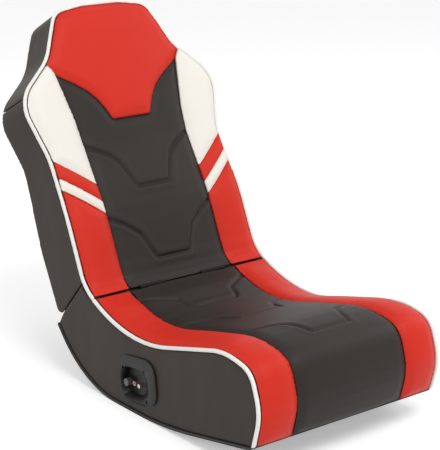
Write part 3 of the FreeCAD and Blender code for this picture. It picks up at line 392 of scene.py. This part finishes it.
def stand_for(piece, node):
    """Finish a piece, let it ride with the node's body and show it in the node's place."""
    piece.data.materials.clear()
    piece.data.materials.append(MATERIALS[slot_of[node]])
    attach(piece, body_of[node])
    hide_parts(node)


# %% [markdown]
# ## Padded panels
#
# Each panel is a sewn cover over foam. Its solid in the frame has the right outline and crown, but
# hard corners. A voxel remesh gives it even, small faces; then the cover is pulled down where it is
# sewn to its neighbour and the sewn channels are pressed in, both along the direction that stands
# out of the padding. Where seat and back meet, the ends are pushed towards the crease to narrow the
# gap; they pass a little through the hinges there.

# %% Panel helpers
SEW_DROP = 5.0
SEW_REACH = 11.0
SMOOTH_PASSES = 6
FULL_SMOOTH = 0.5
LAST_SMOOTH = 0.4
DROP_SHARE = 0.6
WALL_FACING = 0.45
OUT_FACING = 0.2
LEAST_HEIGHT = 1.0
CHANNEL_DEPTH = 2.7
CHANNEL_HALF = 3.2
CHANNEL_PUFF = 0.7
WAVE_SCALE = 9.0
WAVE_HEIGHT = 1.2
WAVE_BORDER = 30.0
CREASE_FILL = 4.0
CREASE_ROLL = 6.5
CREASE_LIFT = 3.0
CREASE_PINS = 5.0
CREASE_REACH = 7


def solid_copy(node, name):
    """A merged copy of a node's mesh as a new object."""
    bm = bmesh.new()
    bm.from_mesh(nodes[node].data)
    bmesh.ops.remove_doubles(bm, verts=bm.verts, dist=0.002 * MM)
    return from_bmesh(name, bm)


def remeshed(node, name, voxel):
    """A copy of a node with even faces of about one voxel, as a bmesh."""
    obj = solid_copy(node, name)
    remesh = obj.modifiers.new("even", "REMESH")
    remesh.mode = "VOXEL"
    remesh.voxel_size = voxel * MM
    evaluated = obj.evaluated_get(bpy.context.evaluated_depsgraph_get())
    mesh = bpy.data.meshes.new_from_object(evaluated)
    bpy.data.objects.remove(obj)
    bm = bmesh.new()
    bm.from_mesh(mesh)
    bpy.data.meshes.remove(mesh)
    return bm


def smooth(bm, factor):
    """Move every vertex part of the way to the middle of its neighbours."""
    bmesh.ops.smooth_vert(bm, verts=bm.verts, factor=factor, use_axis_x=True, use_axis_y=True, use_axis_z=True)


def near_polyline(x, y, points):
    """Distance in the flat from a place to a run of straight lines."""
    place, best = Vector((x, y)), 1e9
    for first, second in zip(points, points[1:]):
        start, run = Vector(first), Vector(second) - Vector(first)
        share = min(max((place - start).dot(run) / run.length_squared, 0.0), 1.0)
        best = min(best, (place - start - run * share).length)
    return best


def sewn_panel(node, voxel, channels=(), on_seat=False, drop=SEW_DROP, reach=SEW_REACH):
    """A padded panel: even faces, sewn-down borders and pressed channels."""
    bm = remeshed(node, node + "_cover", voxel)
    for _ in range(SMOOTH_PASSES):
        smooth(bm, FULL_SMOOTH)
    bm.normal_update()
    facts = [over_edge(vert.co) for vert in bm.verts]
    walls = [vert.co.copy() for vert, fact in zip(bm.verts, facts)
             if abs(vert.normal.dot(fact[2])) < WALL_FACING]
    wall_tree = kdtree.KDTree(len(walls))
    for number, place in enumerate(walls):
        wall_tree.insert(place, number)
    wall_tree.balance()
    moves = []
    for vert, (index, height, out) in zip(bm.verts, facts):
        if vert.normal.dot(out) < OUT_FACING or height < LEAST_HEIGHT:
            moves.append(Vector())
            continue
        border = wall_tree.find(vert.co)[2] / MM
        move = -min(drop, DROP_SHARE * height) * math.exp(-(border / reach) ** 2)
        x, y, z = vert.co / MM - ORIGIN
        along = vert.co.y / MM if on_seat else up_the_back(y, z)
        for points in channels:
            away = near_polyline(abs(x), along, points)
            move -= CHANNEL_DEPTH * math.exp(-(away / CHANNEL_HALF) ** 2)
            move += CHANNEL_PUFF * math.exp(-((away - 3.2 * CHANNEL_HALF) / (2.0 * CHANNEL_HALF)) ** 2)
        wave = noise.noise(vert.co * WAVE_SCALE) * WAVE_HEIGHT * (1 - math.exp(-(border / WAVE_BORDER) ** 2))
        moves.append(out * (move + wave) * MM)
    bm.verts.ensure_lookup_table()
    for number, (index, height, out) in enumerate(facts):
        steps = index - crease_index
        if abs(steps) < 3 * CREASE_REACH:
            ahead = Vector((0.0, out.z, -out.y)) * (-1.0 if steps > 0 else 1.0)
            near = math.exp(-(steps / CREASE_REACH) ** 2)
            fill = CREASE_FILL + CREASE_ROLL * min(max(height / CREASE_PINS - 0.5, 0.0), 1.0)
            faces_out = height > LEAST_HEIGHT and bm.verts[number].normal.dot(out) > OUT_FACING
            lift = CREASE_LIFT if faces_out else 0.0
            moves[number] += (ahead * fill + out * lift) * near * MM
    for vert, move in zip(bm.verts, moves):
        vert.co += move
    smooth(bm, LAST_SMOOTH)
    piece = from_bmesh(node + "_cover", bm)
    stand_for(piece, node)
    return piece


# %% [markdown]
# ## Cutting the panels
#
# The sewn chevrons are runs of (half width, place along the panel) in millimetres, mirrored left to
# right. The narrow stripes get a finer voxel and a gentler seam.

# %% Padded panels of the seat and the back
SEAT_CHANNELS = [
    [(130.0, 42.2), (66.0, 3.6), (58.0, -24.1), (46.0, -37.3), (0.0, -37.3)],
    [(130.0, -87.4), (78.0, -113.9), (65.0, -128.9), (50.0, -174.1), (0.0, -174.1)],
    [(124.0, -274.6), (68.0, -307.2), (57.0, -325.9), (44.0, -367.7), (0.0, -367.7)]]
BACK_CHANNELS = [
    [(130.0, 301.0), (104.0, 287.0), (80.0, 273.0), (63.0, 256.0), (48.0, 222.0), (40.0, 200.0), (0.0, 200.0)],
    [(130.0, 149.0), (97.0, 130.0), (65.0, 104.0), (50.0, 71.0), (41.0, 51.0), (0.0, 51.0)]]
sewn_panel("seat_center_panel", 2.6, SEAT_CHANNELS, on_seat=True)
sewn_panel("back_center_panel", 2.2, BACK_CHANNELS)
sewn_panel("headrest_panel", 2.4)
for side in ("left", "right"):
    sewn_panel("seat_bolster_" + side, 2.6)
    sewn_panel("wing_" + side, 2.2)
    sewn_panel("red_stripe_" + side, 1.8, reach=6.0, drop=3.0)
    sewn_panel("white_stripe_" + side, 1.8, reach=6.0, drop=3.0)
    sewn_panel("back_bolster_" + side, 2.2)
print("padded panels made")

# %% [markdown]
# ## Piping and covers
#
# The same remesh rounds the square piping of the frame into a soft welt, and gives the thin covers
# enough faces for the slack that a sewn cover always has.

# %% Piping and covers
COVER_PASSES = 3
COVER_SLACK = 1.1


def soft_skin(node, voxel, passes, slack=0.0):
    """A welt or cover from its solid: even faces, rounded corners and some slack."""
    bm = remeshed(node, node + "_skin", voxel)
    for _ in range(passes):
        smooth(bm, FULL_SMOOTH)
    bm.normal_update()
    for vert in bm.verts:
        if slack:
            stretched = Vector((vert.co.x * 9.0, vert.co.y * 9.0, vert.co.z * 4.0))
            vert.co += vert.normal * slack * MM * noise.fractal(stretched, 0.8, 2.0, 3)
    piece = from_bmesh(node + "_skin", bm)
    stand_for(piece, node)
    return piece


for node, voxel, passes in (("seat_piping_left", 1.4, 6), ("seat_piping_right", 1.4, 6),
                            ("back_piping", 1.6, 5)):
    welt = soft_skin(node, voxel, passes)
    print(node, len(welt.data.polygons), "faces")
for node, voxel in (("seat_side_cover_left", 2.4), ("seat_side_cover_right", 2.4),
                    ("back_side_cover_left", 2.4), ("back_side_cover_right", 2.4), ("head_side_cover", 2.4),
                    ("back_rear_cover", 3.3), ("seat_rear_cover", 2.4), ("back_split_cover", 2.4)):
    cover = soft_skin(node, voxel, COVER_PASSES, slack=COVER_SLACK)
    print(node, len(cover.data.polygons), "faces")

# %% [markdown]
# ## Hard parts
#
# Moulded and turned parts keep their exact solids; a fine bevel catches the light on every edge.

# %% Bevelled hard parts
SHARP_ANGLE = math.radians(28.0)
BEVEL_SEGMENTS = 3


def bevelled(node, width):
    """A copy of a node with its sharp edges rounded."""
    piece = solid_copy(node, node + "_shaped")
    piece.data.set_sharp_from_angle(angle=SHARP_ANGLE)
    rounding = piece.modifiers.new("edges", "BEVEL")
    rounding.width = width * MM
    rounding.segments = BEVEL_SEGMENTS
    rounding.limit_method = "ANGLE"
    rounding.angle_limit = SHARP_ANGLE
    rounding.harden_normals = True
    stand_for(piece, node)
    return piece


for node, width in (("control_panel", 1.3), ("panel_screws", 0.25), ("volume_knob", 0.4),
                    ("jack_insert_red", 0.15), ("jack_insert_white", 0.15), ("jack_barrels", 0.15),
                    ("rocker_board", 1.5)):
    bevelled(node, width)
